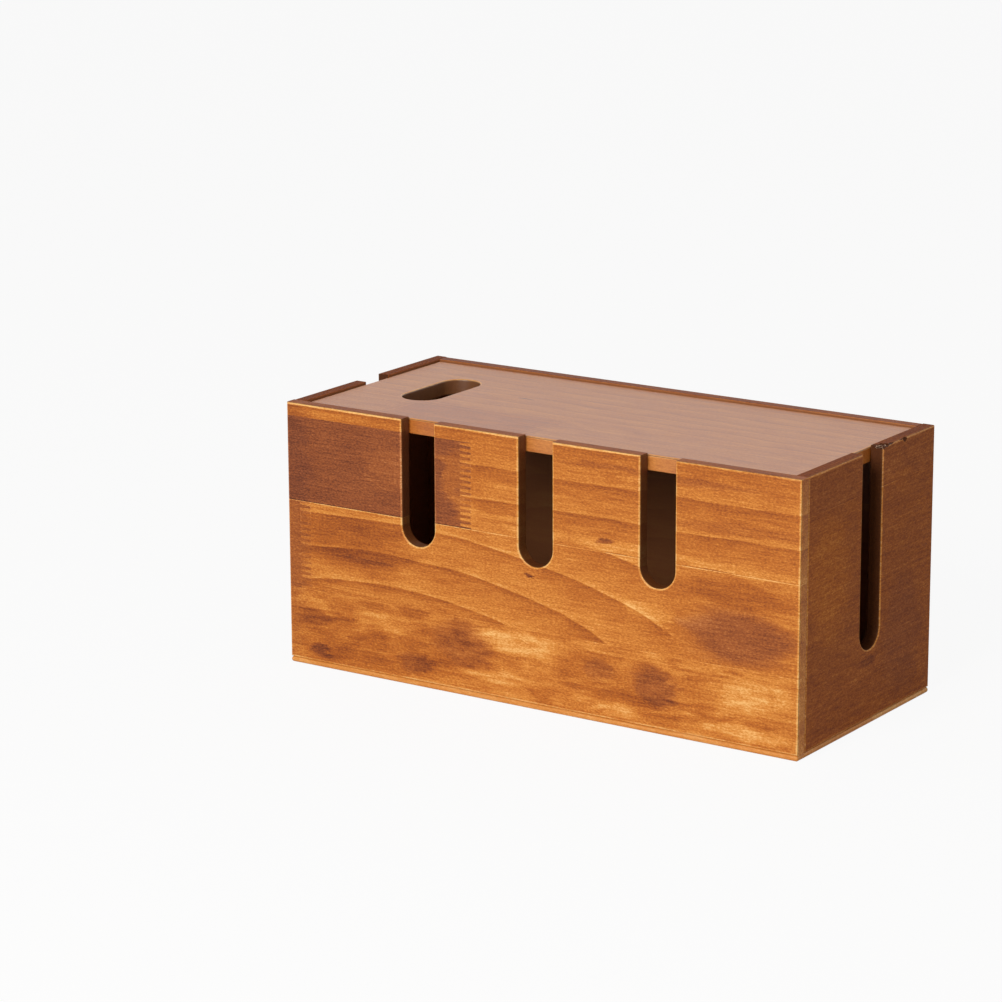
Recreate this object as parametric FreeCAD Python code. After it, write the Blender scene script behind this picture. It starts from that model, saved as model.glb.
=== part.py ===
import FreeCAD, Part
import os

V = FreeCAD.Vector

# Overall size of the box, with the lid in place, in millimetres
length = 305.0
depth = 135.0
height = 140.0

# Boards
wall = 7.0
base_thick = 3.0
lid_thick = 8.0
# The lid's top lies this far below the tops of the walls
lid_drop = 1.0
# Clear gap between the lid's edge and the walls, all round
lid_gap = 0.7
# Radius of the sanded outer edges, and of the edges inside the box
outer_ease = 1.0
inner_ease = 0.4
base_ease = 1.4

# Cable slots, open at the top, round at the bottom
slot_width = 20.0
front_slot_deep = 65.5
front_slot_count = 3
front_slot_pitch = 71.25
# The front row stands a little right of the middle of the length
front_slot_shift = 1.5
side_slot_deep = 101.0
# The side slots and the hand hole stand a little behind the middle of the depth
side_slot_shift = 3.0

# Hand hole in the lid, its long way along the depth
hand_hole_width = 22.0
hand_hole_length = 55.0
hand_hole_from_left = 48.5

# Square posts in the corners, which carry the lid
post_side = 12.0

# Headless brads driven through the corner joints and the base
brad_radius = 0.6
brad_length = 20.0
brad_count = 4
brad_end_margin = 18.0
# The head is set this far under the surface, and the hole over it is stopped with putty
brad_set = 1.5
base_brad_count = 5
base_brad_length = 14.0
base_brad_set = 0.8

half_x = length / 2
half_y = depth / 2
wall_height = height - base_thick
inner_x = half_x - wall
inner_y = half_y - wall
lid_top = height - lid_drop
lid_under = lid_top - lid_thick
cut_over = 5.0


def board(x0, x1, y0, y1, z0, z1):
    """A rectangular board between two corners."""
    return Part.makeBox(x1 - x0, y1 - y0, z1 - z0, V(x0, y0, z0))


def ease(shape, radius, wanted):
    """Round the edges that the test picks out."""
    edges = [edge for edge in shape.Edges if wanted(edge)]
    return shape.makeFillet(radius, edges)


def lies_in(edge, axis, value):
    """True for an edge that lies wholly in the plane axis = value."""
    box = edge.BoundBox
    low, high = [(box.XMin, box.XMax), (box.YMin, box.YMax), (box.ZMin, box.ZMax)][axis]
    return abs(low - value) < 0.01 and abs(high - value) < 0.01


def slot_cutter(centre, deep, across_x):
    """The round-bottomed slot's tool, through a wall at any place on the other axis."""
    radius = slot_width / 2
    bottom = height - deep + radius
    reach = max(length, depth)
    if across_x:
        straight = board(-reach, reach, centre - radius, centre + radius, bottom, height + cut_over)
        round_end = Part.makeCylinder(radius, 2 * reach, V(-reach, centre, bottom), V(1, 0, 0))
    else:
        straight = board(centre - radius, centre + radius, -reach, reach, bottom, height + cut_over)
        round_end = Part.makeCylinder(radius, 2 * reach, V(centre, -reach, bottom), V(0, 1, 0))
    return straight.fuse(round_end).removeSplitter()


def front_slot_centres():
    """Middle of each front slot along the length."""
    first = front_slot_shift - front_slot_pitch * (front_slot_count - 1) / 2
    return [first + front_slot_pitch * number for number in range(front_slot_count)]


def corner_brads(side_x, side_y):
    """Brads in one upright corner joint, driven through the covering board into the end of the other."""
    step = (wall_height - 2 * brad_end_margin) / (brad_count - 1)
    brads = []
    for number in range(brad_count):
        z = base_thick + brad_end_margin + step * number
        if side_y < 0:
            head = V(side_x * (half_x - wall / 2), -half_y + brad_set, z)
            way = V(0, 1, 0)
        else:
            head = V(side_x * (half_x - brad_set), half_y - wall / 2, z)
            way = V(-side_x, 0, 0)
        brads.append(Part.makeCylinder(brad_radius, brad_length, head, way))
    return brads


def base_brads():
    """Brads driven up through the base into the front and back walls."""
    brads = []
    step = (length - 2 * brad_end_margin) / (base_brad_count - 1)
    for side_y in (-1, 1):
        for number in range(base_brad_count):
            x = -half_x + brad_end_margin + step * number
            head = V(x, side_y * (half_y - wall / 2), base_brad_set)
            brads.append(Part.makeCylinder(brad_radius, base_brad_length, head, V(0, 0, 1)))
    return brads


def drill(shape, brads):
    """Cut the brads' own holes out of a board."""
    for brad in brads:
        shape = shape.cut(brad)
    return shape


def ease_faces(panel, axis, outside, inside):
    """Round the edges of a board's outer and inner faces."""
    panel = ease(panel, outer_ease, lambda edge: lies_in(edge, axis, outside))
    return ease(panel, inner_ease, lambda edge: lies_in(edge, axis, inside))


def front_wall():
    """The front board over the whole length, which covers the end walls' ends, with its slots."""
    panel = board(-half_x, half_x, -half_y, -inner_y, base_thick, height)
    for centre in front_slot_centres():
        panel = panel.cut(slot_cutter(centre, front_slot_deep, False))
    return ease_faces(panel, 1, -half_y, -inner_y)


def back_wall():
    """The back board, which stands between the end walls."""
    panel = board(-inner_x, inner_x, inner_y, half_y, base_thick, height)
    return ease_faces(panel, 1, half_y, inner_y)


def end_wall(side_x):
    """An end board from the front wall to the back corner, with one slot."""
    x0, x1 = sorted((side_x * half_x, side_x * inner_x))
    panel = board(x0, x1, -inner_y, half_y, base_thick, height)
    panel = panel.cut(slot_cutter(side_slot_shift, side_slot_deep, True))
    return ease_faces(panel, 0, side_x * half_x, side_x * inner_x)


def base():
    """The thin board under the four walls."""
    panel = board(-half_x, half_x, -half_y, half_y, 0, base_thick)
    panel = ease(panel, outer_ease, lambda edge: edge.BoundBox.ZLength > base_thick - 0.01)
    return ease(panel, base_ease, lambda edge: lies_in(edge, 2, base_thick) or lies_in(edge, 2, 0))


def hand_hole():
    """The stadium-shaped tool that cuts the hand hole."""
    radius = hand_hole_width / 2
    x = -half_x + hand_hole_from_left
    straight = hand_hole_length / 2 - radius
    y = side_slot_shift
    middle = board(x - radius, x + radius, y - straight, y + straight, 0, height)
    ends = [Part.makeCylinder(radius, height, V(x, y + side * straight, 0)) for side in (-1, 1)]
    return middle.fuse(ends).removeSplitter()


def lid():
    """The loose board that drops in between the walls."""
    x = inner_x - lid_gap
    y = inner_y - lid_gap
    panel = board(-x, x, -y, y, lid_under, lid_top).cut(hand_hole())
    panel = ease(panel, outer_ease, lambda edge: lies_in(edge, 2, lid_top))
    return ease(panel, inner_ease, lambda edge: lies_in(edge, 2, lid_under))


def corner_post(side_x, side_y):
    """A post glued into a corner, whose top end carries the lid."""
    x0, x1 = sorted((side_x * inner_x, side_x * (inner_x - post_side)))
    y0, y1 = sorted((side_y * inner_y, side_y * (inner_y - post_side)))
    post = board(x0, x1, y0, y1, base_thick, lid_under)
    free_x = side_x * (inner_x - post_side)
    free_y = side_y * (inner_y - post_side)
    return ease(post, outer_ease, lambda edge: lies_in(edge, 0, free_x) and lies_in(edge, 1, free_y))


def build():
    """Every sub-part by its node's name."""
    corners = {"front_left": (-1, -1), "front_right": (1, -1), "back_left": (-1, 1), "back_right": (1, 1)}
    joint_brads = {name: corner_brads(*signs) for name, signs in corners.items()}
    floor_brads = base_brads()
    front_brads = joint_brads["front_left"] + joint_brads["front_right"] + floor_brads
    back_brads = joint_brads["back_left"] + joint_brads["back_right"] + floor_brads
    nodes = {
        "front_panel": drill(front_wall(), front_brads),
        "back_panel": drill(back_wall(), back_brads),
        "left_panel": drill(end_wall(-1), joint_brads["front_left"] + joint_brads["back_left"]),
        "right_panel": drill(end_wall(1), joint_brads["front_right"] + joint_brads["back_right"]),
        "base_board": drill(base(), floor_brads),
        "lid_board": lid(),
        "base_brads": Part.makeCompound(floor_brads),
    }
    for name, signs in corners.items():
        nodes[name + "_post"] = corner_post(*signs)
        nodes[name + "_brads"] = Part.makeCompound(joint_brads[name])
    return nodes


os.makedirs("parts", exist_ok=True)
for node, shape in build().items():
    shape.exportStep("parts/" + node + ".step")
    print(node, len(shape.Solids), "solids", round(shape.Volume / 1000, 2), "cm3", shape.isValid())
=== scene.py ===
import math
import random

import bpy
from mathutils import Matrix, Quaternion, Vector


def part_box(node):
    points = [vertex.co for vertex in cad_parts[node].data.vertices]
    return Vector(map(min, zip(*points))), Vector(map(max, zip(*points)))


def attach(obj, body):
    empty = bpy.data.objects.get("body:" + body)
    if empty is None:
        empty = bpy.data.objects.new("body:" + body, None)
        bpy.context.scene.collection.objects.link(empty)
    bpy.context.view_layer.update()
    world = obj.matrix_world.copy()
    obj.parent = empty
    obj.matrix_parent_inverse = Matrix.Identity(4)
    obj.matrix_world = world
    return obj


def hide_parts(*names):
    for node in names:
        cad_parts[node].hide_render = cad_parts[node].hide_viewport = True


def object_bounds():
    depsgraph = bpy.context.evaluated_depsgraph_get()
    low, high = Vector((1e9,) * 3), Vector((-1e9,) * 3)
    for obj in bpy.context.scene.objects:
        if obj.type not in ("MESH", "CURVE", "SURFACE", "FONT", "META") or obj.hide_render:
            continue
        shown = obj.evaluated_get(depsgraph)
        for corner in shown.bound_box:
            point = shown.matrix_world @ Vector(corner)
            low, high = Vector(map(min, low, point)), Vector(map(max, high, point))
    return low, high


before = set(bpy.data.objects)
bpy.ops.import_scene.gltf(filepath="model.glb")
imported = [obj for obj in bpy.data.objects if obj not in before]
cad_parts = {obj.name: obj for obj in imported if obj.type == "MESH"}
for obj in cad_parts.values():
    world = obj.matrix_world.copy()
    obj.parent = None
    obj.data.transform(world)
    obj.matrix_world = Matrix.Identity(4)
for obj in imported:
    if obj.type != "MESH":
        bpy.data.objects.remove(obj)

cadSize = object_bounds()
mm = 0.001  # the scene is in metres, the sizes below in millimetres

slotSizes = {
    "width": 20.0,
    "frontDeep": 65.5,
    "frontCount": 3,
    "frontPitch": 71.25,
    "frontShift": 1.5,  # the front row stands a little right of the middle
    "sideDeep": 101.0,
    "sideShift": 3.0,  # side slots and hand hole stand a little behind the middle
}

cutter = {
    "reach": 60.0,  # long enough to pass through any board
    "pastTop": 10.0,
    "roundSteps": 96,
}

easing = {
    "outer": 1.0,  # radius of the sanded outer edges
    "inner": 0.4,
    "base": 1.4,
    "outerSteps": 5,
    "innerSteps": 3,
    "wornAndHighlightAt": 0.35,  # share of the outer radius where the edge is palest: the stain is sanded thinnest there and the painted highlight is brightest
}


# selecting and shaping

def clearSelection():
    if bpy.context.object and bpy.context.object.mode != "OBJECT":
        bpy.ops.object.mode_set(mode="OBJECT")
    bpy.ops.object.select_all(action="DESELECT")


def makeActive(piece):
    clearSelection()
    bpy.context.view_layer.objects.active = piece
    piece.select_set(True)


def selectParts(piece, kind, test):
    # leaves the piece in edit mode with only the edges or faces that pass the test
    makeActive(piece)
    bpy.ops.object.mode_set(mode="EDIT")
    bpy.ops.mesh.select_mode(type=kind)
    bpy.ops.mesh.select_all(action="DESELECT")
    bpy.ops.object.mode_set(mode="OBJECT")
    parts = piece.data.edges if kind == "EDGE" else piece.data.polygons
    for part in parts:
        part.select = test(part)
    bpy.ops.object.mode_set(mode="EDIT")


def addBlock(name, low, high):
    clearSelection()
    low, high = Vector(low), Vector(high)
    bpy.ops.mesh.primitive_cube_add(size=1, location=(low + high) / 2, scale=high - low)
    piece = bpy.context.object
    piece.name = name
    bpy.ops.object.transform_apply(location=True, rotation=True, scale=True)
    return piece


def cutAway(piece, tool):
    makeActive(piece)
    cut = piece.modifiers.new("cut", "BOOLEAN")
    cut.object = tool
    cut.operation = "DIFFERENCE"
    cut.solver = "EXACT"
    bpy.ops.object.modifier_apply(modifier=cut.name)
    bpy.data.objects.remove(tool)


def easeRim(piece, axis, value, radius, steps):
    # rounds every edge that lies in the plane axis = value, but not the flat ones between two faces of that plane
    near = 0.02 * mm
    corners = piece.data.vertices
    inPlane = [abs(corner.co[axis] - value) < near for corner in corners]
    flatSides = {}
    for face in piece.data.polygons:
        if all(inPlane[v] for v in face.vertices):
            for key in face.edge_keys:
                flatSides[key] = flatSides.get(key, 0) + 1
    selectParts(piece, "EDGE", lambda edge: (
        all(inPlane[v] for v in edge.vertices) and flatSides.get(tuple(sorted(edge.vertices)), 0) == 1
    ))
    bpy.ops.mesh.bevel(offset=radius * mm, segments=steps, affect="EDGES", clamp_overlap=False)
    bpy.ops.object.mode_set(mode="OBJECT")


def markFaces(piece, layer, amountOf):
    # a named value between 0 and 1 on each face, which the wood reads
    marks = piece.data.attributes.new(layer, "FLOAT", "FACE")
    for number, face in enumerate(piece.data.polygons):
        marks.data[number].value = float(amountOf(face))


def markWornAndHighlight(piece, axis, outside):
    # the faces of each outer rounded edge are made pale, most of all where the stain is sanded thinnest, and this also
    # paints a highlight along the edge
    def wornAndHighlightAmount(face):
        deep = abs(face.center[axis] - outside) / (easing["outer"] * mm)
        return 1 - abs(deep - easing["wornAndHighlightAt"]) if 0.01 < deep < 0.99 else 0

    markFaces(piece, "wornAndHighlight", wornAndHighlightAmount)


def finishShape(piece, body, node):
    makeActive(piece)
    bpy.ops.object.mode_set(mode="EDIT")
    bpy.ops.mesh.select_all(action="SELECT")
    bpy.ops.mesh.remove_doubles(threshold=0.001 * mm)
    bpy.ops.mesh.normals_make_consistent(inside=False)
    bpy.ops.object.mode_set(mode="OBJECT")
    bpy.ops.object.shade_smooth_by_angle(angle=math.radians(30))
    weigh = piece.modifiers.new("weigh", "WEIGHTED_NORMAL")
    weigh.keep_sharp = True
    bpy.ops.object.modifier_apply(modifier=weigh.name)
    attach(piece, body)
    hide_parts(node)


def addCylinder(radius, place, turn=(0, 0, 0)):
    # a cutting tool, left in edit mode with all of it selected
    clearSelection()
    bpy.ops.mesh.primitive_cylinder_add(
        vertices=cutter["roundSteps"], radius=radius, depth=cutter["reach"] * mm, location=place, rotation=turn
    )
    tool = bpy.context.object
    bpy.ops.object.transform_apply(location=True, rotation=True, scale=True)
    bpy.ops.object.mode_set(mode="EDIT")
    bpy.ops.mesh.select_all(action="SELECT")
    return tool


def slotCutter(middle, deep, top, turn):
    # a cylinder halved at its axis, whose flat is then drawn up past the wall's top
    radius = slotSizes["width"] / 2 * mm
    bottom = top - deep * mm + radius
    tool = addCylinder(radius, (middle[0], middle[1], bottom), turn)
    bpy.ops.mesh.bisect(plane_co=(0, 0, bottom), plane_no=(0, 0, 1), use_fill=True, clear_outer=True)
    selectParts(tool, "FACE", lambda face: face.normal.z > 0.99)
    rise = top - bottom + cutter["pastTop"] * mm
    bpy.ops.mesh.extrude_region_move(TRANSFORM_OT_translate={"value": (0, 0, rise)})
    bpy.ops.object.mode_set(mode="OBJECT")
    return tool


# materials

def fromHex(colour):
    # sRGB hex to the linear colour that the shaders use
    parts = [int(colour[at:at + 2], 16) / 255 for at in (1, 3, 5)]
    return [part / 12.92 if part <= 0.04045 else ((part + 0.055) / 1.055) ** 2.4 for part in parts] + [1.0]


def addNode(tree, kind, values=None, links=None, **settings):
    made = tree.nodes.new(kind)
    for setting, value in settings.items():
        setattr(made, setting, value)
    for socket, value in (values or {}).items():
        made.inputs[socket].default_value = value
    for socket, source in (links or {}).items():
        tree.links.new(source, made.inputs[socket])
    return made


def setStops(ramp, stops):
    # colour or grey stops, as (place, value) pairs
    elements = ramp.color_ramp.elements
    while len(elements) < len(stops):
        elements.new(0.5)
    for element, (place, value) in zip(elements, stops):
        element.position = place
        element.color = fromHex(value) if isinstance(value, str) else (value, value, value, 1.0)


def newMaterial(name):
    material = bpy.data.materials.new(name)
    material.use_nodes = True
    tree = material.node_tree
    tree.nodes.clear()
    shader = addNode(tree, "ShaderNodeBsdfPrincipled")
    addNode(tree, "ShaderNodeOutputMaterial", links={"Surface": shader.outputs["BSDF"]})
    return material, tree, shader


woodLook = {
    # stained stops from the darkest grain to the sanded-through edge
    "honey": [(0.0, "#57240B"), (0.25, "#8A4213"), (0.5, "#B7651F"), (0.75, "#D98C3A"), (1.0, "#F2BC72")],
    "reddish": [(0.0, "#3F1A09"), (0.25, "#6A331A"), (0.5, "#955029"), (0.75, "#BC7647"), (1.0, "#E0AC7C")],
    # the duller brown that inner faces are mixed toward: painted shade
    "inside": "#8E5A39",
    "fingerLength": 6.5,
    "fingerPitch": 3.0,
    "seamWidth": 0.4,
    # the seam tone darkens each glue line and paints a highlight just below it
    "seamAndHighlightTone": 0.1,
    "jointTone": 0.12,
    "streakWidth": 0.5,
    "streakLength": 9.0,
    "fleckWidth": 0.5,
    "fleckLength": 1.1,
    "blotchWidth": 5.0,
    "blotchLength": 16.0,
}


def stainedPine(name, board):
    # Stained pine under satin varnish: warm brown-orange boards glued up from finger-jointed staves.
    # The stain sinks unevenly, so staves differ in tone and the soft grain bands go dark then suddenly light.
    # Blotches and a few knots take more stain. Slot walls take more too, and they and the inner faces get painted
    # shade.
    # The sanded edges show pale, partly as a painted highlight, and a painted highlight runs below each glue line.
    material, tree, shader = newMaterial(name)
    place = addNode(tree, "ShaderNodeTexCoord")
    inMillimetres = addNode(
        tree, "ShaderNodeVectorMath", operation="SCALE", links={0: place.outputs["Object"]}, values={"Scale": 1 / mm}
    )
    axes = addNode(tree, "ShaderNodeSeparateXYZ", links={0: inMillimetres.outputs[0]})
    along, across, through = (axes.outputs[letter] for letter in board["axes"])
    through = addNode(
        tree, "ShaderNodeMath", operation="SUBTRACT", links={0: through}, values={1: board["face"]}
    ).outputs[0]

    # the square fingers of a joint, as a shift along the grain
    wave = addNode(
        tree, "ShaderNodeMath", operation="PINGPONG", links={0: across}, values={1: woodLook["fingerPitch"] / 2}
    )
    finger = addNode(
        tree, "ShaderNodeMapRange", links={"Value": wave.outputs[0]},
        values={
            "From Min": 0.2 * woodLook["fingerPitch"], "From Max": 0.3 * woodLook["fingerPitch"],
            "To Max": woodLook["fingerLength"],
        },
    )
    unjointed = addNode(
        tree, "ShaderNodeMath", operation="SUBTRACT", links={0: along, 1: finger.outputs["Result"]}
    )

    # each stave overrides the grain's centre and tone inside its own outline
    grainCentre = addNode(
        tree, "ShaderNodeCombineXYZ", values={number: value for number, value in enumerate(board["grain"])}
    ).outputs[0]
    tones = addNode(
        tree, "ShaderNodeCombineXYZ", values={0: board["tone"], 1: board["red"], 2: board["blotch"]}
    ).outputs[0]
    ringStrength = addNode(tree, "ShaderNodeValue")
    ringStrength.outputs[0].default_value = board["rings"]
    ringStrength = ringStrength.outputs[0]
    seamsAndHighlights = None
    for stave in board["staves"]:
        mask = None
        for source, edge, comparison in (
            (across, stave.get("low"), "GREATER_THAN"), (across, stave.get("high"), "LESS_THAN"),
            (unjointed.outputs[0], stave.get("left"), "GREATER_THAN"),
            (unjointed.outputs[0], stave.get("right"), "LESS_THAN"),
        ):
            if edge is None:
                continue
            side = addNode(tree, "ShaderNodeMath", operation=comparison, links={0: source}, values={1: edge})
            if mask:
                side = addNode(tree, "ShaderNodeMath", operation="MULTIPLY", links={0: mask, 1: side.outputs[0]})
            mask = side.outputs[0]
        grainCentre = addNode(
            tree, "ShaderNodeMix", data_type="VECTOR", links={0: mask, 4: grainCentre}, values={5: stave["grain"]}
        ).outputs[1]
        tones = addNode(
            tree, "ShaderNodeMix", data_type="VECTOR", links={0: mask, 4: tones},
            values={5: (stave["tone"], stave["red"], stave["blotch"])},
        ).outputs[1]
        ringStrength = addNode(
            tree, "ShaderNodeMix", links={0: mask, 2: ringStrength}, values={3: stave["rings"]}
        ).outputs[0]
        # a glue line is dark just above its edge, with a painted highlight of the slight step between staves just below
        # it, and a finger joint's line is bright
        seam, seamStrength = woodLook["seamWidth"], stave.get("seamStrength", 1.0)
        hasEnd = stave.get("left") is not None or stave.get("right") is not None
        for source, edge, width, strength, shift in (
            (across, stave.get("low"), seam, -woodLook["seamAndHighlightTone"], seam / 2),
            (across, stave.get("low"), seam, woodLook["seamAndHighlightTone"], -seam / 2),
            (unjointed.outputs[0], stave.get("left"), 2 * seam, woodLook["jointTone"], 0.0),
            (unjointed.outputs[0], stave.get("right"), 2 * seam, woodLook["jointTone"], 0.0),
        ):
            if edge is None:
                continue
            line = addNode(
                tree, "ShaderNodeMath", operation="COMPARE", links={0: source}, values={1: edge + shift, 2: width / 2}
            )
            if hasEnd and shift >= 0:
                line = addNode(tree, "ShaderNodeMath", operation="MULTIPLY", links={0: line.outputs[0], 1: mask})
            line = addNode(
                tree, "ShaderNodeMath", operation="MULTIPLY", links={0: line.outputs[0]}, values={1: strength * seamStrength}
            )
            if seamsAndHighlights:
                line = addNode(tree, "ShaderNodeMath", operation="ADD", links={0: seamsAndHighlights, 1: line.outputs[0]})
            seamsAndHighlights = line.outputs[0]

    # place from the stave's own grain centre, so that no two staves share a pattern
    centre = addNode(tree, "ShaderNodeSeparateXYZ", links={0: grainCentre})
    fromCentreAlong = addNode(tree, "ShaderNodeMath", operation="SUBTRACT", links={0: along, 1: centre.outputs[0]})
    fromCentreAcross = addNode(tree, "ShaderNodeMath", operation="SUBTRACT", links={0: across, 1: centre.outputs[1]})
    squeezed = addNode(
        tree, "ShaderNodeMath", operation="DIVIDE", links={0: fromCentreAlong.outputs[0], 1: centre.outputs[2]}
    )
    local = addNode(
        tree, "ShaderNodeCombineXYZ",
        links={0: fromCentreAlong.outputs[0], 1: fromCentreAcross.outputs[0], 2: through},
    )
    ringPlace = addNode(
        tree, "ShaderNodeCombineXYZ", links={0: squeezed.outputs[0], 1: fromCentreAcross.outputs[0], 2: through}
    )
    ringRadius = addNode(tree, "ShaderNodeVectorMath", operation="LENGTH", links={0: ringPlace.outputs[0]})

    # slow wander of the growth rings, in millimetres
    wanderPlace = addNode(
        tree, "ShaderNodeVectorMath", operation="MULTIPLY", links={0: local.outputs[0]},
        values={1: (1 / 60, 1 / 22, 1 / 22)},
    )
    wander = addNode(
        tree, "ShaderNodeTexNoise", links={"Vector": wanderPlace.outputs[0]}, values={"Scale": 1.0, "Detail": 4.0}
    )
    wandered = addNode(
        tree, "ShaderNodeMath", operation="MULTIPLY_ADD",
        links={0: wander.outputs["Fac"], 2: ringRadius.outputs["Value"]}, values={1: board["wander"]},
    )
    phased = addNode(
        tree, "ShaderNodeMath", operation="SUBTRACT", links={0: wandered.outputs[0]},
        values={1: board["wander"] / 2 + board["ringStart"]},
    )
    rings = addNode(
        tree, "ShaderNodeMath", operation="DIVIDE", links={0: phased.outputs[0]}, values={1: board["ringWidth"]}
    )
    ringFraction = addNode(tree, "ShaderNodeMath", operation="FRACT", links={0: rings.outputs[0]})
    ringTone = addNode(tree, "ShaderNodeValToRGB", links={0: ringFraction.outputs[0]})
    setStops(ringTone, [(0.0, 1.0), (0.1, 0.75), (0.5, 0.58), (0.8, 0.4), (0.96, 0.12)])
    ringTone.color_ramp.elements.new(0.99).color = (1.0, 1.0, 1.0, 1.0)

    # fine streaks along the grain, short pores and the blotches of unevenly taken stain
    streakPlace = addNode(
        tree, "ShaderNodeVectorMath", operation="DIVIDE", links={0: local.outputs[0]},
        values={1: (woodLook["streakLength"], woodLook["streakWidth"], woodLook["streakWidth"])},
    )
    streaks = addNode(
        tree, "ShaderNodeTexNoise", links={"Vector": streakPlace.outputs[0]},
        values={"Scale": 0.4, "Detail": 5.0, "Roughness": 0.65},
    )
    fleckPlace = addNode(
        tree, "ShaderNodeVectorMath", operation="DIVIDE", links={0: local.outputs[0]},
        values={1: (woodLook["fleckLength"], woodLook["fleckWidth"], woodLook["fleckWidth"])},
    )
    flecks = addNode(
        tree, "ShaderNodeTexNoise", links={"Vector": fleckPlace.outputs[0]},
        values={"Scale": 0.7, "Detail": 3.0, "Roughness": 0.7},
    )
    blotchPlace = addNode(
        tree, "ShaderNodeVectorMath", operation="DIVIDE", links={0: local.outputs[0]},
        values={1: (woodLook["blotchLength"], woodLook["blotchWidth"], woodLook["blotchWidth"])},
    )
    blotches = addNode(
        tree, "ShaderNodeTexNoise", links={"Vector": blotchPlace.outputs[0]},
        values={"Scale": 0.6, "Detail": 5.0, "Roughness": 0.6, "Distortion": 0.8},
    )

    # all of them add to one tone between 0, dark, and 1, pale
    toneParts = addNode(tree, "ShaderNodeSeparateXYZ", links={0: tones})
    total, red = toneParts.outputs[0], toneParts.outputs[1]
    for source, strength in (
        (ringTone.outputs[0], ringStrength), (blotches.outputs["Fac"], toneParts.outputs[2]),
        (streaks.outputs["Fac"], board["streaks"]), (flecks.outputs["Fac"], board["flecks"]),
    ):
        offset = addNode(tree, "ShaderNodeMath", operation="SUBTRACT", links={0: source}, values={1: 0.5})
        added = addNode(tree, "ShaderNodeMath", operation="MULTIPLY_ADD", links={0: offset.outputs[0], 2: total})
        if isinstance(strength, float):
            added.inputs[1].default_value = strength
        else:
            tree.links.new(strength, added.inputs[1])
        total = added.outputs[0]
    if seamsAndHighlights:
        total = addNode(tree, "ShaderNodeMath", operation="ADD", links={0: seamsAndHighlights, 1: total}).outputs[0]

    # soft marks where the stain took more or less, with ragged edges, each at its own place on the board; on the front,
    # the dark marks at the left end are also painted shade
    flat = addNode(tree, "ShaderNodeCombineXYZ", links={0: along, 1: across})
    raggedOffset = addNode(
        tree, "ShaderNodeVectorMath", operation="SUBTRACT", links={0: blotches.outputs["Color"]},
        values={1: (0.5, 0.5, 0.5)},
    )
    ragged = addNode(
        tree, "ShaderNodeVectorMath", operation="MULTIPLY_ADD",
        links={0: raggedOffset.outputs[0], 2: flat.outputs[0]}, values={1: (34.0, 9.0, 0.0)},
    )
    for markAlong, markAcross, halfLength, halfWidth, toneChange, redChange in board["marks"]:
        fromMark = addNode(
            tree, "ShaderNodeVectorMath", operation="MULTIPLY_ADD", links={0: ragged.outputs[0]},
            values={
                1: (1 / halfLength, 1 / halfWidth, 0.0), 2: (-markAlong / halfLength, -markAcross / halfWidth, 0.0),
            },
        )
        markRadius = addNode(tree, "ShaderNodeVectorMath", operation="LENGTH", links={0: fromMark.outputs[0]})
        mark = addNode(
            tree, "ShaderNodeMapRange", interpolation_type="SMOOTHSTEP", links={"Value": markRadius.outputs["Value"]},
            values={"From Min": 1.15, "From Max": 0.55},
        ).outputs["Result"]
        total = addNode(
            tree, "ShaderNodeMath", operation="MULTIPLY_ADD", links={0: mark, 2: total}, values={1: toneChange}
        ).outputs[0]
        red = addNode(
            tree, "ShaderNodeMath", operation="MULTIPLY_ADD", links={0: mark, 2: red}, values={1: redChange}
        ).outputs[0]

    # end grain, the walls' top edges and the pale edges, both sanded through and painted lighter as a highlight
    for layer, strength in (("endGrain", board["endGrain"]), ("topEdge", board["topEdge"]), ("wornAndHighlight", board["wornAndHighlight"])):
        amount = addNode(tree, "ShaderNodeAttribute", attribute_name=layer)
        total = addNode(
            tree, "ShaderNodeMath", operation="MULTIPLY_ADD", links={0: amount.outputs["Fac"], 2: total},
            values={1: strength},
        ).outputs[0]

    honey = addNode(tree, "ShaderNodeValToRGB", links={0: total})
    setStops(honey, woodLook["honey"])
    reddish = addNode(tree, "ShaderNodeValToRGB", links={0: total})
    setStops(reddish, woodLook["reddish"])
    colour = addNode(
        tree, "ShaderNodeMix", data_type="RGBA", links={0: red, 6: honey.outputs[0], 7: reddish.outputs[0]}
    )
    # slot walls and inner faces are mixed toward a duller brown, with the same grain showing faintly: painted shade,
    # and on slot walls also their darker stain
    for layer, brown in (("inside", woodLook["inside"]), ("slotWallStainAndShade", board["slotWallStainAndShade"])):
        stainAndShadeBrown = addNode(
            tree, "ShaderNodeMix", data_type="RGBA", links={6: colour.outputs[2]}, values={0: 0.85, 7: fromHex(brown)}
        )
        marked = addNode(tree, "ShaderNodeAttribute", attribute_name=layer)
        colour = addNode(
            tree, "ShaderNodeMix", data_type="RGBA",
            links={0: marked.outputs["Fac"], 6: colour.outputs[2], 7: stainAndShadeBrown.outputs[2]},
        )
    tree.links.new(colour.outputs[2], shader.inputs["Base Color"])

    gloss = addNode(
        tree, "ShaderNodeMapRange", links={"Value": streaks.outputs["Fac"]},
        values={"To Min": board["rough"] - 0.06, "To Max": board["rough"] + 0.08},
    )
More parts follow.
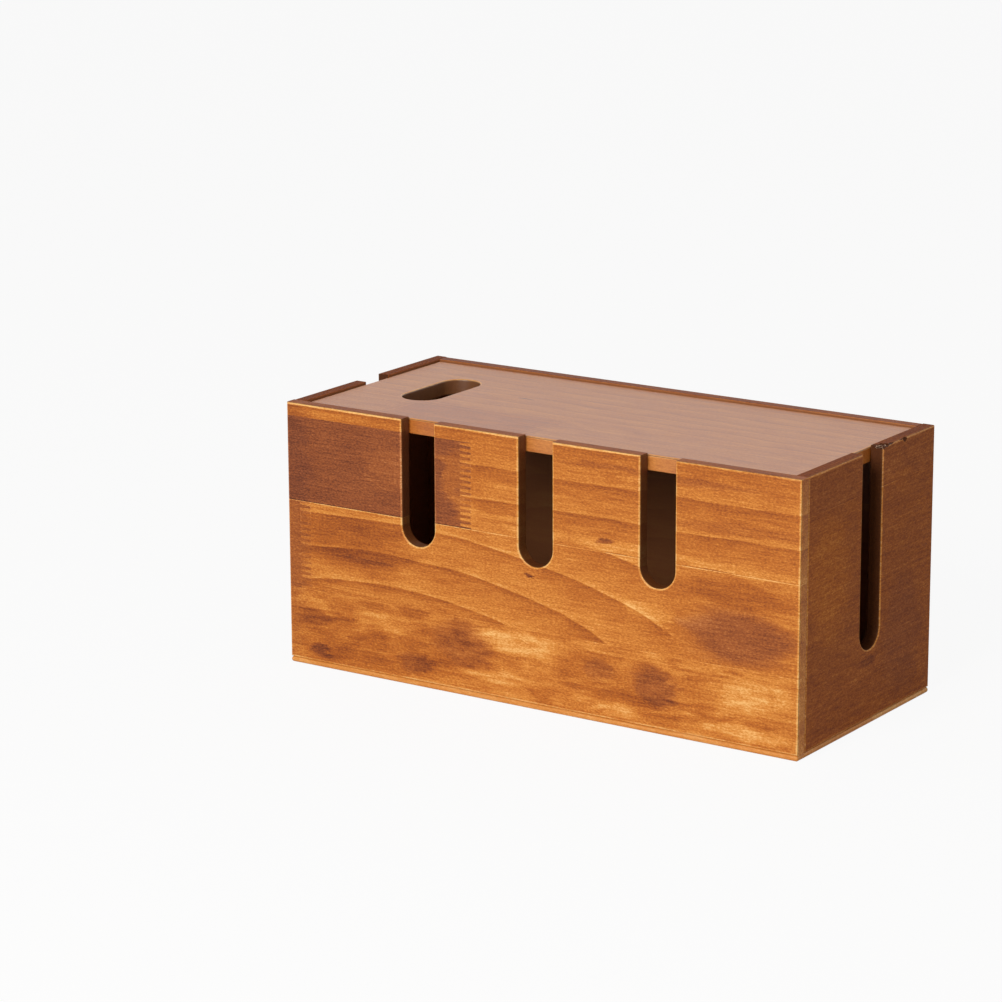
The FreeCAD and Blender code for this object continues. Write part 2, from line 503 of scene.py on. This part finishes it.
    # the sawn top edges are barely varnished
    topEdge = addNode(tree, "ShaderNodeAttribute", attribute_name="topEdge")
    gloss = addNode(
        tree, "ShaderNodeMath", operation="MULTIPLY_ADD", links={0: topEdge.outputs["Fac"], 2: gloss.outputs["Result"]},
        values={1: 0.2},
    )
    tree.links.new(gloss.outputs[0], shader.inputs["Roughness"])
    relief = addNode(
        tree, "ShaderNodeMath", operation="ADD", links={0: streaks.outputs["Fac"], 1: flecks.outputs["Fac"]}
    )
    bump = addNode(
        tree, "ShaderNodeBump", links={"Height": relief.outputs[0]}, values={"Strength": 0.65, "Distance": 0.12 * mm}
    )
    tree.links.new(bump.outputs["Normal"], shader.inputs["Normal"])
    shader.inputs["IOR"].default_value = 1.5
    shader.inputs["Specular IOR Level"].default_value = board["specular"]
    return material


# the boards

# in each board, the slot wall brown is partly the darker stain of the routed faces and partly painted shade
# in each board, the worn value pales the rounded edges as sanded wear and also as a painted highlight
frontBoard = {
    "axes": "XZY", "face": -67.5,
    "tone": 0.55, "red": 0.0, "blotch": 0.35, "rings": 0.36, "grain": (-92.0, 5.0, 2.7),
    "wander": 4.0, "ringWidth": 17.0, "ringStart": 12.0,
    "streaks": 0.55, "flecks": 0.95, "endGrain": 0.05, "topEdge": -0.32, "wornAndHighlight": 0.35,
    "slotWallStainAndShade": "#5E331C", "rough": 0.42, "specular": 0.3,
    "staves": [
        # the right part of the wide stave, where its growth rings have faded, with no glue line or painted seam
        # highlight of its own
        {
            "low": 41.4, "high": 88.4, "left": 76.0, "seamStrength": 0.0,
            "tone": 0.55, "red": 0.0, "blotch": 0.35, "rings": 0.04, "grain": (-92.0, 5.0, 2.7),
        },
        {"low": 88.4, "tone": 0.5, "red": 0.0, "blotch": 0.35, "rings": 0.3, "grain": (420.0, -25.0, 40.0)},
        {
            "low": 88.4, "high": 133.2, "right": -43.5, "seamStrength": 1.5,
            "tone": 0.385, "red": 0.85, "blotch": 0.15, "rings": 0.0, "grain": (-300.0, 190.0, 18.0),
        },
        {
            "low": 41.4, "high": 88.4, "right": -144.5,
            "tone": 0.5, "red": 0.25, "blotch": 0.2, "rings": 0.0, "grain": (-420.0, 130.0, 16.0),
        },
        {"high": 41.4, "tone": 0.56, "red": 0.0, "blotch": 0.9, "rings": 0.12, "grain": (150.0, -60.0, 9.0)},
    ],
    # along the length from the middle, height, half length, half width, change of tone, change of red
    "marks": [
        (-130.0, 136.5, 34.0, 2.5, 0.1, 0.0),
        (-47.0, 116.0, 9.0, 16.0, 0.08, -0.45),
        (-40.0, 98.0, 9.0, 8.0, 0.1, -0.5),
        (-88.0, 112.0, 16.0, 13.0, 0.07, -0.1),
        (42.0, 92.0, 74.0, 3.0, 0.16, 0.0),
        (124.0, 90.0, 40.0, 3.2, 0.1, 0.0),
        (58.0, 126.5, 16.0, 1.2, 0.1, 0.0),
        (114.0, 110.0, 42.0, 3.5, -0.07, 0.1),
        (40.5, 93.0, 6.0, 1.5, -0.3, 0.5),
        (0.5, 69.6, 1.6, 1.2, -0.35, 0.5),
        (-30.0, 78.0, 34.0, 3.5, 0.03, 0.0),
        (70.0, 62.0, 14.0, 5.0, 0.12, 0.0),
        (118.0, 57.0, 34.0, 15.0, -0.12, 0.65),
        (-90.0, 45.0, 50.0, 2.2, 0.06, 0.0),
        (98.0, 62.0, 10.0, 6.0, 0.08, 0.0),
        (-2.0, 113.0, 24.0, 1.4, 0.12, 0.0),
        (-16.0, 98.0, 26.0, 2.6, 0.12, 0.0),
        (75.0, 131.0, 60.0, 2.2, -0.1, 0.2),
        # the next three marks darken the left end: painted shade for the light falling off towards the left, as well as
        # the stain's own tone
        (-154.0, 80.0, 16.0, 95.0, -0.05, 0.2),
        (-108.0, 70.0, 40.0, 17.0, -0.2, 0.0),
        (-100.0, 20.0, 56.0, 24.0, -0.11, 0.0),
        (118.0, 78.0, 42.0, 8.0, -0.14, 0.0),
        (-104.0, 62.0, 26.0, 1.6, -0.1, 0.2),
        (-90.0, 31.0, 24.0, 6.0, 0.22, 0.0),
        (-8.0, 33.0, 30.0, 7.0, 0.22, 0.0),
        (128.0, 30.0, 25.0, 11.0, 0.22, 0.0),
        (49.0, 8.0, 14.0, 4.5, 0.2, 0.0),
        (-20.0, 13.0, 24.0, 4.0, 0.18, 0.0),
        (127.0, 9.0, 24.0, 5.0, 0.24, 0.0),
        (-42.0, 27.0, 19.0, 14.0, -0.14, 0.3),
        (71.0, 24.0, 14.0, 12.0, -0.16, 0.5),
        (-136.0, 27.0, 13.0, 5.0, -0.14, 0.1),
        (-134.0, 9.0, 6.0, 4.0, -0.16, 0.5),
        (38.0, 27.0, 11.0, 7.0, -0.1, 0.3),
        (-72.0, 12.0, 10.0, 6.0, -0.12, 0.3),
    ],
}

backBoard = {
    "axes": "XZY", "face": 67.5,
    "tone": 0.52, "red": 0.1, "blotch": 0.5, "rings": 0.25, "grain": (60.0, 30.0, 4.5),
    "wander": 6.0, "ringWidth": 15.0, "ringStart": 4.0,
    "streaks": 0.45, "flecks": 0.5, "endGrain": 0.05, "topEdge": -0.32, "wornAndHighlight": 0.35,
    "slotWallStainAndShade": "#5E331C", "rough": 0.42, "specular": 0.3,
    "staves": [
        {"low": 96.0, "tone": 0.54, "red": 0.0, "blotch": 0.4, "rings": 0.2, "grain": (-250.0, -20.0, 20.0)},
        {
            "low": 96.0, "high": 131.0, "left": 38.0,
            "tone": 0.42, "red": 0.7, "blotch": 0.3, "rings": 0.0, "grain": (240.0, 170.0, 15.0),
        },
        {"high": 47.0, "tone": 0.57, "red": 0.0, "blotch": 0.8, "rings": 0.15, "grain": (-90.0, -70.0, 10.0)},
        {
            "high": 47.0, "right": -62.0,
            "tone": 0.46, "red": 0.4, "blotch": 0.4, "rings": 0.1, "grain": (-380.0, 90.0, 14.0),
        },
    ],
    "marks": [
        (-60.0, 70.0, 30.0, 8.0, 0.15, 0.0), (85.0, 22.0, 26.0, 9.0, -0.15, 0.4), (20.0, 78.0, 2.0, 1.5, -0.3, 0.5),
    ],
}

sideBoard = {
    "axes": "YZX", "face": 0.0,
    "tone": 0.42, "red": 0.33, "blotch": 0.22, "rings": 0.04, "grain": (-160.0, -30.0, 14.0),
    "wander": 8.0, "ringWidth": 8.0, "ringStart": 0.0,
    "streaks": 0.5, "flecks": 0.9, "endGrain": -0.02, "topEdge": -0.15, "wornAndHighlight": 0.38,
    # the sides' slot wall brown is darkest, as painted shade over the darker stain of the routed faces
    "slotWallStainAndShade": "#3C2113", "rough": 0.5, "specular": 0.12,
    "staves": [
        {"low": 120.0, "tone": 0.44, "red": 0.5, "blotch": 0.22, "rings": 0.05, "grain": (120.0, 10.0, 18.0)},
        {"high": 37.0, "tone": 0.41, "red": 0.3, "blotch": 0.25, "rings": 0.06, "grain": (90.0, -90.0, 12.0)},
    ],
    "marks": [
        (-38.0, 84.0, 22.0, 34.0, 0.05, -0.3), (38.0, 40.0, 24.0, 34.0, 0.0, 0.3), (2.0, 33.0, 9.0, 3.0, -0.08, 0.2),
        (30.0, 122.0, 16.0, 3.0, 0.05, -0.2),
    ],
}

lidBoard = {
    "axes": "XYZ", "face": 139.0,
    "tone": 0.56, "red": 0.15, "blotch": 0.25, "rings": 0.14, "grain": (240.0, 160.0, 9.0),
    "wander": 9.0, "ringWidth": 11.0, "ringStart": 0.0,
    "streaks": 0.4, "flecks": 0.5, "endGrain": 0.05, "topEdge": 0.0, "wornAndHighlight": 0.3,
    "slotWallStainAndShade": "#603C25", "rough": 0.4, "specular": 0.75,
    "staves": [
        {"high": -24.0, "tone": 0.56, "red": 0.2, "blotch": 0.25, "rings": 0.1, "grain": (-240.0, -120.0, 18.0)},
        {
            "high": -24.0, "right": -14.0, "left": -104.0,
            "tone": 0.44, "red": 0.0, "blotch": 0.25, "rings": 0.08, "grain": (-300.0, -160.0, 16.0),
        },
    ],
    "marks": [(-55.0, 8.0, 5.0, 0.8, -0.3, 0.3)],
}

# the base is paler than the walls as a painted highlight, which brightens the band along its rounded edge
baseBoard = {
    "axes": "XYZ", "face": 0.0,
    "tone": 0.86, "red": 0.0, "blotch": 0.3, "rings": 0.1, "grain": (100.0, 200.0, 12.0),
    "wander": 6.0, "ringWidth": 14.0, "ringStart": 0.0,
    "streaks": 0.4, "flecks": 0.4, "endGrain": 0.0, "topEdge": 0.0, "wornAndHighlight": 0.3,
    "slotWallStainAndShade": "#5E331C", "rough": 0.45, "specular": 0.4,
    "staves": [
        {"high": 8.0, "tone": 0.74, "red": 0.1, "blotch": 0.3, "rings": 0.1, "grain": (-200.0, -180.0, 14.0)},
    ],
    "marks": [],
}


damage = {
    # where the right wall's top outer edge is chipped: along the depth, half size across, along and down
    "chips": [
        (35.6, 1.5, 2.6, 2.4), (32.0, 0.6, 2.0, 0.7), (39.8, 0.5, 2.2, 0.5),
        (14.0, 8.6, 2.4, 1.9), (17.4, 5.2, 3.0, 1.2), (21.6, 1.6, 3.2, 0.7),
    ],
    # splinters left standing where the slot's corner is torn, in the box between low and high
    "splinterCount": 22,
    "splinterLow": (147.4, 13.8, 138.3),
    "splinterHigh": (151.6, 18.6, 139.5),
    "splinterLength": (2.2, 5.6),
    "splinterThick": (0.22, 0.5),
    "splinterTilt": (-0.1, 0.12),
    "splinterTurn": (-0.3, 0.8),
    "fibre": "#D9B79A",
    "fibreShade": "#6B432B",
}


def addDamage(wall, outside, top):
    for place, across, along, down in damage["chips"]:
        clearSelection()
        bpy.ops.mesh.primitive_ico_sphere_add(
            subdivisions=1, radius=1, location=(outside, place * mm, top), scale=(across * mm, along * mm, down * mm)
        )
        tool = bpy.context.object
        bpy.ops.object.transform_apply(location=True, rotation=True, scale=True)
        cutAway(wall, tool)


def inChip(face, outside, top):
    # the slanted faces that a chip left
    return max(abs(part) for part in face.normal) < 0.985 and any(
        abs(face.center.y - place * mm) < along * mm and top - face.center.z < down * mm
        and outside - face.center.x < across * mm for place, across, along, down in damage["chips"]
    )


def addSplinters(wall):
    # Torn pine fibre: bare wood that never took the stain, matt and pale, with darker strands in between.
    material, tree, shader = newMaterial("torn pale pine fibre")
    place = addNode(tree, "ShaderNodeTexCoord")
    grain = addNode(tree, "ShaderNodeTexNoise", links={"Vector": place.outputs["Object"]}, values={"Scale": 900.0})
    tint = addNode(tree, "ShaderNodeValToRGB", links={0: grain.outputs["Fac"]})
    setStops(tint, [(0.38, damage["fibreShade"]), (0.6, damage["fibre"])])
    tree.links.new(tint.outputs[0], shader.inputs["Base Color"])
    shader.inputs["Roughness"].default_value = 0.7
    dice = random.Random(7)
    slivers = []
    for number in range(damage["splinterCount"]):
        middle = [dice.uniform(a, b) * mm for a, b in zip(damage["splinterLow"], damage["splinterHigh"])]
        thick = dice.uniform(*damage["splinterThick"]) * mm
        long = dice.uniform(*damage["splinterLength"]) * mm
        turn = (math.pi / 2 + dice.uniform(*damage["splinterTilt"]), 0, dice.uniform(*damage["splinterTurn"]))
        clearSelection()
        bpy.ops.mesh.primitive_cone_add(
            vertices=5, radius1=thick, radius2=0.05 * mm, depth=long, location=middle, rotation=turn
        )
        sliver = bpy.context.object
        bpy.ops.object.transform_apply(location=True, rotation=True, scale=True)
        sliver.data.materials.append(material)
        slivers.append(sliver)
    makeActive(wall)
    for sliver in slivers:
        sliver.select_set(True)
    bpy.ops.object.join()


def makeWall(name, node, axis, outerSide, slots, board, damaged=False):
    # axis is the one through the board's thickness, each slot is its middle's place and its depth
    low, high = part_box(node)
    wall = addBlock(name, low, high)
    outside, inside = (low[axis], high[axis]) if outerSide < 0 else (high[axis], low[axis])
    turn = (0, math.pi / 2, 0) if axis == 0 else (math.pi / 2, 0, 0)
    for middle, deep in slots:
        spot = [(low[0] + high[0]) / 2, (low[1] + high[1]) / 2]
        spot[1 - axis] = middle * mm
        cutAway(wall, slotCutter(spot, deep, high[2], turn))
    easeRim(wall, axis, outside, easing["outer"], easing["outerSteps"])
    easeRim(wall, axis, inside, easing["inner"], easing["innerSteps"])
    if damaged:
        addDamage(wall, outside, high[2])
    markWornAndHighlight(wall, axis, outside)
    if damaged:
        for number, face in enumerate(wall.data.polygons):
            if inChip(face, outside, high[2]):
                wall.data.attributes["wornAndHighlight"].data[number].value = 0.0
    flush = 0.05 * mm
    # inner faces, which the wood paints a duller brown as shade
    markFaces(wall, "inside", lambda face: abs(face.center[axis] - inside) < flush)
    # slot walls and chip faces, which the wood paints darker: painted shade, and on slot walls also their darker stain
    markFaces(wall, "slotWallStainAndShade", lambda face: (
        abs(face.normal[axis]) < 0.5 and low[1 - axis] + flush < face.center[1 - axis] < high[1 - axis] - flush
        and low[2] + flush < face.center.z < high[2] - flush
        or damaged and inChip(face, outside, high[2])
    ))
    markFaces(wall, "endGrain", lambda face: abs(face.normal[1 - axis]) > 0.9)
    markFaces(wall, "topEdge", lambda face: face.normal.z > 0.9 and face.center.z > high[2] - flush)
    wall.data.materials.append(stainedPine(name.replace("Wall", "") + " stained pine", board))
    if damaged:
        addSplinters(wall)
    finishShape(wall, "box", node)


handHole = {
    "width": 22.0,
    "length": 55.0,
    "fromLeft": 48.5,  # from the box's left end to the middle of the hole
}


def makeLid():
    low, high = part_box("lid_board")
    lid = addBlock("lidBoard", low, high)
    radius = handHole["width"] / 2 * mm
    straight = handHole["length"] / 2 * mm - radius
    x = cadSize[0][0] + handHole["fromLeft"] * mm
    y = slotSizes["sideShift"] * mm
    # a cylinder cut in two at its axis, with the halves drawn apart into a round-ended hole
    tool = addCylinder(radius, (x, y, (low[2] + high[2]) / 2))
    bpy.ops.mesh.bisect(plane_co=(0, y, 0), plane_no=(0, 1, 0), use_fill=True, clear_outer=True)
    bpy.ops.mesh.select_all(action="SELECT")
    bpy.ops.transform.translate(value=(0, -straight, 0))
    selectParts(tool, "FACE", lambda face: face.normal.y > 0.99)
    bpy.ops.mesh.extrude_region_move(TRANSFORM_OT_translate={"value": (0, straight, 0)})
    bpy.ops.object.mode_set(mode="OBJECT")
    mirror = tool.modifiers.new("mirror", "MIRROR")
    mirror.use_axis = (False, True, False)
    clearSelection()
    bpy.ops.object.empty_add(location=(0, y, 0))
    middle = bpy.context.object
    mirror.mirror_object = middle
    mirror.merge_threshold = 0.01 * mm
    selectParts(tool, "FACE", lambda face: face.normal.y > 0.99)
    bpy.ops.mesh.delete(type="FACE")
    makeActive(tool)
    bpy.ops.object.modifier_apply(modifier=mirror.name)
    bpy.data.objects.remove(middle)
    cutAway(lid, tool)
    easeRim(lid, 2, high[2], easing["outer"], easing["outerSteps"])
    easeRim(lid, 2, low[2], easing["inner"], easing["innerSteps"])
    markWornAndHighlight(lid, 2, high[2])
    edge = 0.05 * mm
    # the lid's underside, which the wood paints a duller brown as shade
    markFaces(lid, "inside", lambda face: face.normal.z < -0.5)
    # the hand hole's walls, which the wood paints darker: painted shade, and also their darker stain
    markFaces(lid, "slotWallStainAndShade", lambda face: abs(face.normal.z) < 0.5 and all(
        low[side] + edge < face.center[side] < high[side] - edge for side in (0, 1)
    ))
    markFaces(lid, "endGrain", lambda face: face.center.y < low[1] + edge)
    lid.data.materials.append(stainedPine("lid stained pine", lidBoard))
    finishShape(lid, "lid", "lid_board")


def makeBase():
    low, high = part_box("base_board")
    base = addBlock("baseBoard", low, high)
    heights = [corner.co.z for corner in base.data.vertices]
    selectParts(base, "EDGE", lambda edge: abs(heights[edge.vertices[0]] - heights[edge.vertices[1]]) > mm)
    bpy.ops.mesh.bevel(offset=easing["outer"] * mm, segments=easing["outerSteps"], affect="EDGES")
    bpy.ops.object.mode_set(mode="OBJECT")
    easeRim(base, 2, high[2], easing["base"], easing["outerSteps"])
    easeRim(base, 2, low[2], easing["base"], easing["outerSteps"])
    # the base's top and bottom, which the wood paints a duller brown as shade
    markFaces(base, "inside", lambda face: abs(face.normal.z) > 0.99)
    base.data.materials.append(stainedPine("base stained pine", baseBoard))
    finishShape(base, "box", "base_board")


print("boards")
frontFirst = slotSizes["frontShift"] - slotSizes["frontPitch"] * (slotSizes["frontCount"] - 1) / 2
frontSlots = [
    (frontFirst + slotSizes["frontPitch"] * number, slotSizes["frontDeep"])
    for number in range(slotSizes["frontCount"])
]
endSlot = [(slotSizes["sideShift"], slotSizes["sideDeep"])]
makeWall("frontWall", "front_panel", 1, -1, frontSlots, frontBoard)
makeWall("backWall", "back_panel", 1, 1, [], backBoard)
makeWall("leftWall", "left_panel", 0, -1, endSlot, sideBoard)
makeWall("rightWall", "right_panel", 0, 1, endSlot, sideBoard, damaged=True)
makeLid()
makeBase()


# posts and brads keep the shapes that they come with

def brightSteel():
    # Drawn steel wire of the brads: plain grey metal with fine draw marks along it.
    material, tree, shader = newMaterial("drawn steel wire")
    place = addNode(tree, "ShaderNodeTexCoord")
    marks = addNode(tree, "ShaderNodeTexNoise", links={"Vector": place.outputs["Object"]}, values={"Scale": 4000.0})
    gloss = addNode(
        tree, "ShaderNodeMapRange", links={"Value": marks.outputs["Fac"]}, values={"To Min": 0.25, "To Max": 0.45}
    )
    tree.links.new(gloss.outputs["Result"], shader.inputs["Roughness"])
    shader.inputs["Base Color"].default_value = fromHex("#A9A8A5")
    shader.inputs["Metallic"].default_value = 1.0
    return material


postBoard = {
    "axes": "ZXY", "face": 0.0,
    "tone": 0.35, "red": 0.2, "blotch": 0.3, "rings": 0.2, "grain": (40.0, 90.0, 10.0),
    "wander": 4.0, "ringWidth": 5.0, "ringStart": 0.0,
    "streaks": 0.4, "flecks": 0.4, "endGrain": 0.0, "topEdge": 0.0, "wornAndHighlight": 0.0,
    "slotWallStainAndShade": "#5E331C", "rough": 0.6, "specular": 0.3,
    "staves": [],
    "marks": [],
}


def giveMaterial(node, material):
    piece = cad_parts[node]
    piece.data.materials.clear()
    piece.data.materials.append(material)


postWood = stainedPine("post stained pine", postBoard)
steel = brightSteel()
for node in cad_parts:
    if node.endswith("_post"):
        giveMaterial(node, postWood)
    elif node.endswith("_brads"):
        giveMaterial(node, steel)
print("posts and brads")


# room, lamps and camera

studio = {
    "floorGrey": "#E6E4E2",
    "cameraWhite": 0.92,  # how much of the floor's look to the camera is plain white, the rest keeps the shadow
    "fill": 0.32,
    "backSheen": 1.25,
    "keyPower": 31.5,
    "keySize": 0.9,
    "keyPlace": (0.1, -1.85, 1.0),
}


def makeFloor():
    clearSelection()
    bpy.ops.mesh.primitive_plane_add(size=30, location=(0, 0, -0.05 * mm))
    floor = bpy.context.object
    floor.name = "floor"
    material, tree, shader = newMaterial("matt studio floor")
    shader.inputs["Base Color"].default_value = fromHex(studio["floorGrey"])
    shader.inputs["Roughness"].default_value = 0.9
    shader.inputs["Specular IOR Level"].default_value = 0.1
    path = addNode(tree, "ShaderNodeLightPath")
    white = addNode(tree, "ShaderNodeEmission", values={"Strength": 1.0})
    share = addNode(
        tree, "ShaderNodeMath", operation="MULTIPLY", links={0: path.outputs["Is Camera Ray"]},
        values={1: studio["cameraWhite"]},
    )
    mixed = addNode(
        tree, "ShaderNodeMixShader", links={0: share.outputs[0], 1: shader.outputs[0], 2: white.outputs[0]}
    )
    output = [node for node in tree.nodes if node.type == "OUTPUT_MATERIAL"][0]
    tree.links.new(mixed.outputs[0], output.inputs["Surface"])
    floor.data.materials.append(material)


def makeWorld():
    world = bpy.data.worlds.new("studio")
    bpy.context.scene.world = world
    world.use_nodes = True
    tree = world.node_tree
    tree.nodes.clear()
    path = addNode(tree, "ShaderNodeLightPath")
    fill = addNode(tree, "ShaderNodeBackground", values={"Color": (1, 1, 1, 1), "Strength": studio["fill"]})
    # behind the box the room is bright, which gives the lid its pale sheen
    place = addNode(tree, "ShaderNodeTexCoord")
    parts = addNode(tree, "ShaderNodeSeparateXYZ", links={0: place.outputs["Generated"]})
    behind = addNode(
        tree, "ShaderNodeMapRange", links={"Value": parts.outputs["Y"]},
        values={"From Min": 0.1, "From Max": 0.6, "To Min": studio["fill"], "To Max": studio["backSheen"]},
    )
    sheen = addNode(
        tree, "ShaderNodeBackground", values={"Color": (1, 1, 1, 1)}, links={"Strength": behind.outputs["Result"]}
    )
    glossy = addNode(
        tree, "ShaderNodeMixShader",
        links={0: path.outputs["Is Glossy Ray"], 1: fill.outputs[0], 2: sheen.outputs[0]},
    )
    plain = addNode(tree, "ShaderNodeBackground", values={"Color": (1, 1, 1, 1), "Strength": 1.0})
    mixed = addNode(
        tree, "ShaderNodeMixShader",
        links={0: path.outputs["Is Camera Ray"], 1: glossy.outputs[0], 2: plain.outputs[0]},
    )
    addNode(tree, "ShaderNodeOutputWorld", links={"Surface": mixed.outputs[0]})


def addLamp(name, place, aim, power, size):
    clearSelection()
    bpy.ops.object.light_add(type="AREA", location=place)
    lamp = bpy.context.object
    lamp.name = name
    lamp.rotation_mode = "QUATERNION"
    lamp.rotation_quaternion = (Vector(aim) - Vector(place)).to_track_quat("-Z", "Y")
    lamp.data.energy = power
    lamp.data.shape = "SQUARE"
    lamp.data.size = size


cameraView = {
    "place": (0.9713, -1.5292, 0.5598),
    "aim": (-0.0646, 0.0, 0.0848),
    "roll": -0.255,
    "lens": 131.26,
    "sensor": 36.0,
}


def makeCamera():
    clearSelection()
    bpy.ops.object.camera_add(location=cameraView["place"])
    camera = bpy.context.object
    camera.rotation_mode = "QUATERNION"
    towards = Vector(cameraView["aim"]) - Vector(cameraView["place"])
    roll = Quaternion((0, 0, 1), math.radians(cameraView["roll"]))
    camera.rotation_quaternion = towards.to_track_quat("-Z", "Y") @ roll
    camera.data.lens = cameraView["lens"]
    camera.data.sensor_width = cameraView["sensor"]
    bpy.context.scene.camera = camera


makeFloor()
makeWorld()
addLamp("keyLamp", studio["keyPlace"], (0, 0, 0.07), studio["keyPower"], studio["keySize"])
makeCamera()
bpy.context.scene.view_settings.view_transform = "Standard"
print("room, lamps and camera")
